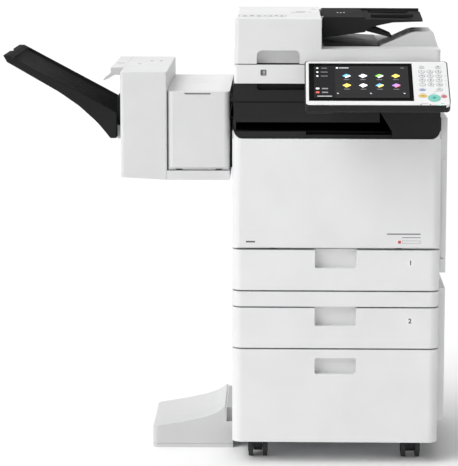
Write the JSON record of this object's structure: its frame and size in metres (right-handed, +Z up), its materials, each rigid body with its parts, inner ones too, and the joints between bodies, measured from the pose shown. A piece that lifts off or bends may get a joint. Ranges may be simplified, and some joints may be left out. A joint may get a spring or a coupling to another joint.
{
  "type": "photocopier",
  "caption": "Floor-standing office colour photocopier with document feeder, tilting control panel, paper drawers and a side finisher tray.",
  "frame": {"origin": "middle of the overall footprint on the floor, with every door, drawer and tray closed", "axes": "+X to the machine's right as its user faces it, +Y to its back, +Z up"},
  "size_m": [1.06, 0.6776, 1.0735],
  "materials": {
    "white_plastic": "fine moulded texture",
    "grey_plastic": "fine moulded texture",
    "black_plastic": "fine moulded texture",
    "tray_plastic": "satin",
    "engine_plastic": "satin",
    "toner_plastic": "satin",
    "frame_steel": "zinc coated sheet",
    "platen_glass": "clear",
    "panel_white": "satin",
    "screen_glass": "gloss",
    "key_plastic": "satin",
    "start_key": "satin",
    "reset_key": "satin",
    "stop_key": "satin",
    "caster_plastic": "satin",
    "caster_rubber": "matt"
  },
  "bodies": {
    "machine": {"chassis": "frame_steel", "engine_covers": "white_plastic", "pedestal_covers": "white_plastic", "delivery_bay": "black_plastic", "toner_cartridges": "toner_plastic", "print_engine_modules": "engine_plastic", "reader_housing": "white_plastic", "platen_glass": "platen_glass", "finisher_housing": "white_plastic", "stabiliser_foot": "grey_plastic", "power_inlet": "black_plastic"},
    "document_feeder": {"adf_base": "white_plastic"},
    "feeder_cover": {"adf_feed_cover": "white_plastic"},
    "input_tray": {"adf_input_tray": "black_plastic"},
    "guide_front": {"adf_guide_front": "black_plastic"},
    "guide_rear": {"adf_guide_rear": "black_plastic"},
    "carriage": {"scan_carriage": "engine_plastic"},
    "control_panel": {"panel_housing": "black_plastic", "panel_bezel": "panel_white", "touch_screen": "screen_glass"},
    "front_door": {"front_cover": "white_plastic"},
    "cassette_1": {"cassette_1_front": "white_plastic", "cassette_1_tray": "tray_plastic"},
    "cassette_2": {"cassette_2_front": "white_plastic", "cassette_2_tray": "tray_plastic"},
    "storage_drawer": {"storage_drawer_front": "white_plastic", "storage_drawer_box": "tray_plastic"},
    "upper_side_door": {"right_door": "white_plastic"},
    "bypass": {"bypass_tray": "white_plastic"},
    "lower_side_door": {"lower_right_door": "white_plastic"},
    "stapler_door": {"finisher_cover": "white_plastic"},
    "output_tray": {"finisher_tray": "black_plastic"},
    "stack_flag": {"finisher_stack_flag": "white_plastic"},
    "caster_front_left": {"caster_fork_front_left": "caster_plastic"},
    "wheels_front_left": {"caster_wheels_front_left": "caster_rubber"},
    "caster_front_right": {"caster_fork_front_right": "caster_plastic"},
    "wheels_front_right": {"caster_wheels_front_right": "caster_rubber"},
    "caster_rear_left": {"caster_fork_rear_left": "caster_plastic"},
    "wheels_rear_left": {"caster_wheels_rear_left": "caster_rubber"},
    "caster_rear_right": {"caster_fork_rear_right": "caster_plastic"},
    "wheels_rear_right": {"caster_wheels_rear_right": "caster_rubber"},
    "press_settings_key": {"settings_key": "key_plastic"},
    "press_energy_saver_key": {"energy_saver_key": "key_plastic"},
    "press_id_key": {"id_key": "key_plastic"},
    "press_clear_key": {"clear_key": "key_plastic"},
    "press_reset_key": {"reset_key": "reset_key"},
    "press_start_key": {"start_key": "start_key"},
    "press_stop_key": {"stop_key": "stop_key"},
    "press_key_1": {"key_1": "key_plastic"},
    "press_key_2": {"key_2": "key_plastic"},
    "press_key_3": {"key_3": "key_plastic"},
    "press_key_4": {"key_4": "key_plastic"},
    "press_key_5": {"key_5": "key_plastic"},
    "press_key_6": {"key_6": "key_plastic"},
    "press_key_7": {"key_7": "key_plastic"},
    "press_key_8": {"key_8": "key_plastic"},
    "press_key_9": {"key_9": "key_plastic"},
    "press_key_star": {"key_star": "key_plastic"},
    "press_key_0": {"key_0": "key_plastic"},
    "press_key_hash": {"key_hash": "key_plastic"}
  },
  "joints": [
    {"name": "adf_lift", "type": "hinge", "parent": "machine", "child": "document_feeder", "pos_m": [0.266, 0.32634, 0.973], "axis": [-1, 0, 0], "range_deg": [0, 60]},
    {"name": "adf_feed_cover", "type": "hinge", "parent": "document_feeder", "child": "feeder_cover", "pos_m": [0.03, 0.09884, 1.06], "axis": [0, -1, 0], "range_deg": [0, 75]},
    {"name": "adf_input_tray", "type": "hinge", "parent": "document_feeder", "child": "input_tray", "pos_m": [0.2375, 0.11684, 1.067], "axis": [0, -1, 0], "range_deg": [0, 35]},
    {"name": "adf_guide_front", "type": "slide", "parent": "input_tray", "child": "guide_front", "axis": [0, 1, 0], "range_m": [0, 0.08]},
    {"name": "adf_guide_rear", "type": "slide", "parent": "input_tray", "child": "guide_rear", "axis": [0, 1, 0], "range_m": [-0.08, 0]},
    {"name": "scan_carriage", "type": "slide", "parent": "machine", "child": "carriage", "axis": [1, 0, 0], "range_m": [0, 0.4]},
    {"name": "panel_tilt", "type": "hinge", "parent": "machine", "child": "control_panel", "pos_m": [0.355, -0.18016, 0.958], "axis": [1, 0, 0], "range_deg": [-15, 25]},
    {"name": "front_cover", "type": "hinge", "parent": "machine", "child": "front_door", "pos_m": [0.266, -0.15816, 0.535], "axis": [1, 0, 0], "range_deg": [0, 90]},
    {"name": "cassette_1", "type": "slide", "parent": "machine", "child": "cassette_1", "axis": [0, -1, 0], "range_m": [0, 0.38]},
    {"name": "cassette_2", "type": "slide", "parent": "machine", "child": "cassette_2", "axis": [0, -1, 0], "range_m": [0, 0.38]},
    {"name": "storage_drawer", "type": "slide", "parent": "machine", "child": "storage_drawer", "axis": [0, -1, 0], "range_m": [0, 0.4]},
    {"name": "right_door", "type": "hinge", "parent": "machine", "child": "upper_side_door", "pos_m": [0.5223, 0.29614, 0.65], "axis": [0, 0, 1], "range_deg": [0, 90]},
    {"name": "bypass_tray", "type": "hinge", "parent": "upper_side_door", "child": "bypass", "pos_m": [0.52415, 0.07884, 0.50365], "axis": [0, 1, 0], "range_deg": [0, 65]},
    {"name": "lower_right_door", "type": "hinge", "parent": "machine", "child": "lower_side_door", "pos_m": [0.5223, 0.29614, 0.262], "axis": [0, 0, 1], "range_deg": [0, 90]},
    {"name": "finisher_cover", "type": "hinge", "parent": "machine", "child": "stapler_door", "pos_m": [-0.062, -0.13816, 0.719], "axis": [1, 0, 0], "range_deg": [0, 75]},
    {"name": "finisher_tray", "type": "slide", "parent": "machine", "child": "output_tray", "axis": [0, 0, -1], "range_m": [0, 0.08]},
    {"name": "finisher_stack_flag", "type": "hinge", "parent": "machine", "child": "stack_flag", "pos_m": [-0.268, 0.02384, 0.934], "axis": [0, 1, 0], "range_deg": [0, 35]},
    {"name": "caster_swivel_front_left", "type": "hinge", "parent": "machine", "child": "caster_front_left", "pos_m": [0.08, -0.10416, 0.044], "axis": [0, 0, 1], "continuous": true},
    {"name": "caster_swivel_front_right", "type": "hinge", "parent": "machine", "child": "caster_front_right", "pos_m": [0.452, -0.10416, 0.044], "axis": [0, 0, 1], "continuous": true},
    {"name": "caster_swivel_rear_left", "type": "hinge", "parent": "machine", "child": "caster_rear_left", "pos_m": [0.08, 0.27384, 0.044], "axis": [0, 0, 1], "continuous": true},
    {"name": "caster_swivel_rear_right", "type": "hinge", "parent": "machine", "child": "caster_rear_right", "pos_m": [0.452, 0.27384, 0.044], "axis": [0, 0, 1], "continuous": true},
    {"name": "caster_roll_front_left", "type": "hinge", "parent": "caster_front_left", "child": "wheels_front_left", "pos_m": [0.08, -0.08916, 0.025], "axis": [1, 0, 0], "continuous": true},
    {"name": "caster_roll_front_right", "type": "hinge", "parent": "caster_front_right", "child": "wheels_front_right", "pos_m": [0.452, -0.08916, 0.025], "axis": [1, 0, 0], "continuous": true},
    {"name": "caster_roll_rear_left", "type": "hinge", "parent": "caster_rear_left", "child": "wheels_rear_left", "pos_m": [0.08, 0.28884, 0.025], "axis": [1, 0, 0], "continuous": true},
    {"name": "caster_roll_rear_right", "type": "hinge", "parent": "caster_rear_right", "child": "wheels_rear_right", "pos_m": [0.452, 0.28884, 0.025], "axis": [1, 0, 0], "continuous": true},
    {"name": "settings_key", "type": "slide", "parent": "control_panel", "child": "press_settings_key", "axis": [0, 0.5006, -0.8657], "range_m": [0, 0.0008], "stiffness_N_per_m": 400},
    {"name": "energy_saver_key", "type": "slide", "parent": "control_panel", "child": "press_energy_saver_key", "axis": [0, 0.5006, -0.8657], "range_m": [0, 0.0008], "stiffness_N_per_m": 400},
    {"name": "id_key", "type": "slide", "parent": "control_panel", "child": "press_id_key", "axis": [0, 0.5006, -0.8657], "range_m": [0, 0.0008], "stiffness_N_per_m": 400},
    {"name": "clear_key", "type": "slide", "parent": "control_panel", "child": "press_clear_key", "axis": [0, 0.5006, -0.8657], "range_m": [0, 0.0008], "stiffness_N_per_m": 400},
    {"name": "reset_key", "type": "slide", "parent": "control_panel", "child": "press_reset_key", "axis": [0, 0.5006, -0.8657], "range_m": [0, 0.0008], "stiffness_N_per_m": 400},
    {"name": "start_key", "type": "slide", "parent": "control_panel", "child": "press_start_key", "axis": [0, 0.5006, -0.8657], "range_m": [0, 0.0008], "stiffness_N_per_m": 400},
    {"name": "stop_key", "type": "slide", "parent": "control_panel", "child": "press_stop_key", "axis": [0, 0.5006, -0.8657], "range_m": [0, 0.0008], "stiffness_N_per_m": 400},
    {"name": "key_1", "type": "slide", "parent": "control_panel", "child": "press_key_1", "axis": [0, 0.5006, -0.8657], "range_m": [0, 0.0008], "stiffness_N_per_m": 400},
    {"name": "key_2", "type": "slide", "parent": "control_panel", "child": "press_key_2", "axis": [0, 0.5006, -0.8657], "range_m": [0, 0.0008], "stiffness_N_per_m": 400},
    {"name": "key_3", "type": "slide", "parent": "control_panel", "child": "press_key_3", "axis": [0, 0.5006, -0.8657], "range_m": [0, 0.0008], "stiffness_N_per_m": 400},
    {"name": "key_4", "type": "slide", "parent": "control_panel", "child": "press_key_4", "axis": [0, 0.5006, -0.8657], "range_m": [0, 0.0008], "stiffness_N_per_m": 400},
    {"name": "key_5", "type": "slide", "parent": "control_panel", "child": "press_key_5", "axis": [0, 0.5006, -0.8657], "range_m": [0, 0.0008], "stiffness_N_per_m": 400},
    {"name": "key_6", "type": "slide", "parent": "control_panel", "child": "press_key_6", "axis": [0, 0.5006, -0.8657], "range_m": [0, 0.0008], "stiffness_N_per_m": 400},
    {"name": "key_7", "type": "slide", "parent": "control_panel", "child": "press_key_7", "axis": [0, 0.5006, -0.8657], "range_m": [0, 0.0008], "stiffness_N_per_m": 400},
    {"name": "key_8", "type": "slide", "parent": "control_panel", "child": "press_key_8", "axis": [0, 0.5006, -0.8657], "range_m": [0, 0.0008], "stiffness_N_per_m": 400},
    {"name": "key_9", "type": "slide", "parent": "control_panel", "child": "press_key_9", "axis": [0, 0.5006, -0.8657], "range_m": [0, 0.0008], "stiffness_N_per_m": 400},
    {"name": "key_star", "type": "slide", "parent": "control_panel", "child": "press_key_star", "axis": [0, 0.5006, -0.8657], "range_m": [0, 0.0008], "stiffness_N_per_m": 400},
    {"name": "key_0", "type": "slide", "parent": "control_panel", "child": "press_key_0", "axis": [0, 0.5006, -0.8657], "range_m": [0, 0.0008], "stiffness_N_per_m": 400},
    {"name": "key_hash", "type": "slide", "parent": "control_panel", "child": "press_key_hash", "axis": [0, 0.5006, -0.8657], "range_m": [0, 0.0008], "stiffness_N_per_m": 400}
  ],
  "couplings": [
    {"joint": "adf_guide_rear", "follows": "adf_guide_front", "ratio": -1}
  ]
}
